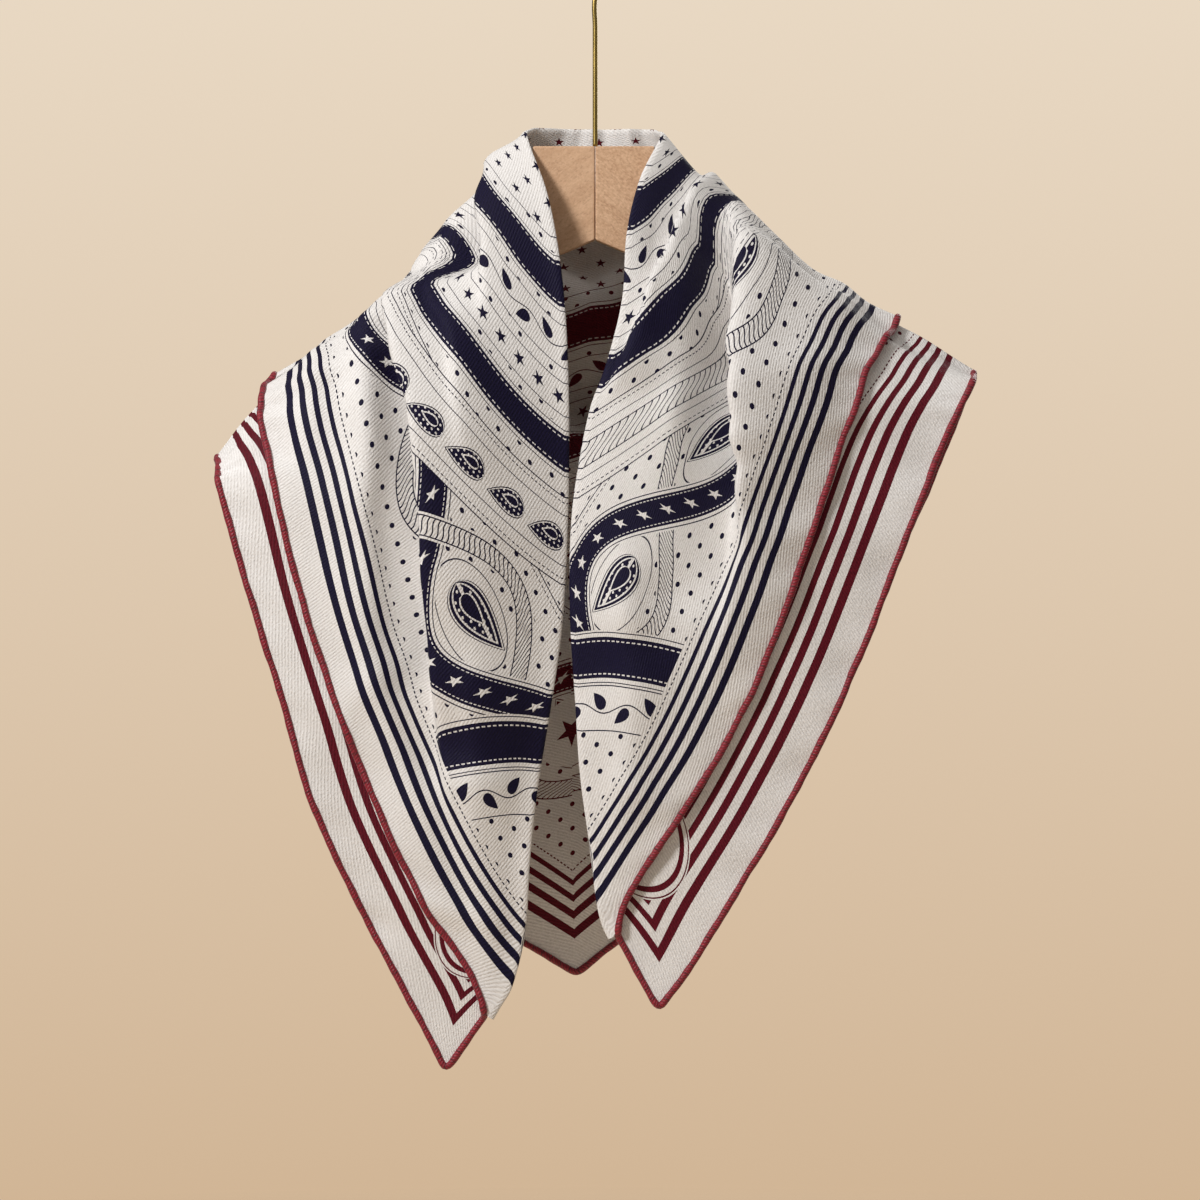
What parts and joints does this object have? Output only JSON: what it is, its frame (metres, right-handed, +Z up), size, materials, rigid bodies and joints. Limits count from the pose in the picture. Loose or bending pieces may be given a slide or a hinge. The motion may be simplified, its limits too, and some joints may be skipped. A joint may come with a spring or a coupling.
{
  "type": "silk square scarf on a wooden hanger",
  "caption": "Square silk scarf, folded once and draped like a shawl over a wooden hanger with a brass hook.",
  "frame": {"origin": "inside top of the hook's bend, where it hangs on a rail", "axes": "+Z up along the hook's rod, -Y towards the scarf's open front, +X towards the right of the front view"},
  "size_m": [0.4752, 0.1461, 0.7228],
  "materials": {
    "silk_cloth": "printed silk twill, soft sheen",
    "silk_hem": "hand-rolled silk hem, burgundy",
    "beech_wood": "sanded pale beech, matte",
    "brass_rod": "aged brass, satin"
  },
  "bodies": {
    "root": {"outer_layer_front_left": "silk_cloth", "inner_layer_front_left": "silk_cloth", "fold_edge_front_left": "silk_cloth", "outer_layer_back": "silk_cloth", "inner_layer_back": "silk_cloth", "fold_edge_back": "silk_cloth", "outer_layer_front_right": "silk_cloth", "inner_layer_front_right": "silk_cloth", "fold_edge_front_right": "silk_cloth", "rolled_hem_left": "silk_hem", "rolled_hem_back_inner": "silk_hem", "rolled_hem_right": "silk_hem", "rolled_hem_back_outer": "silk_hem", "hanger_arm_left": "beech_wood", "hanger_arm_right": "beech_wood", "hook": "brass_rod"}
  },
  "joints": []
}
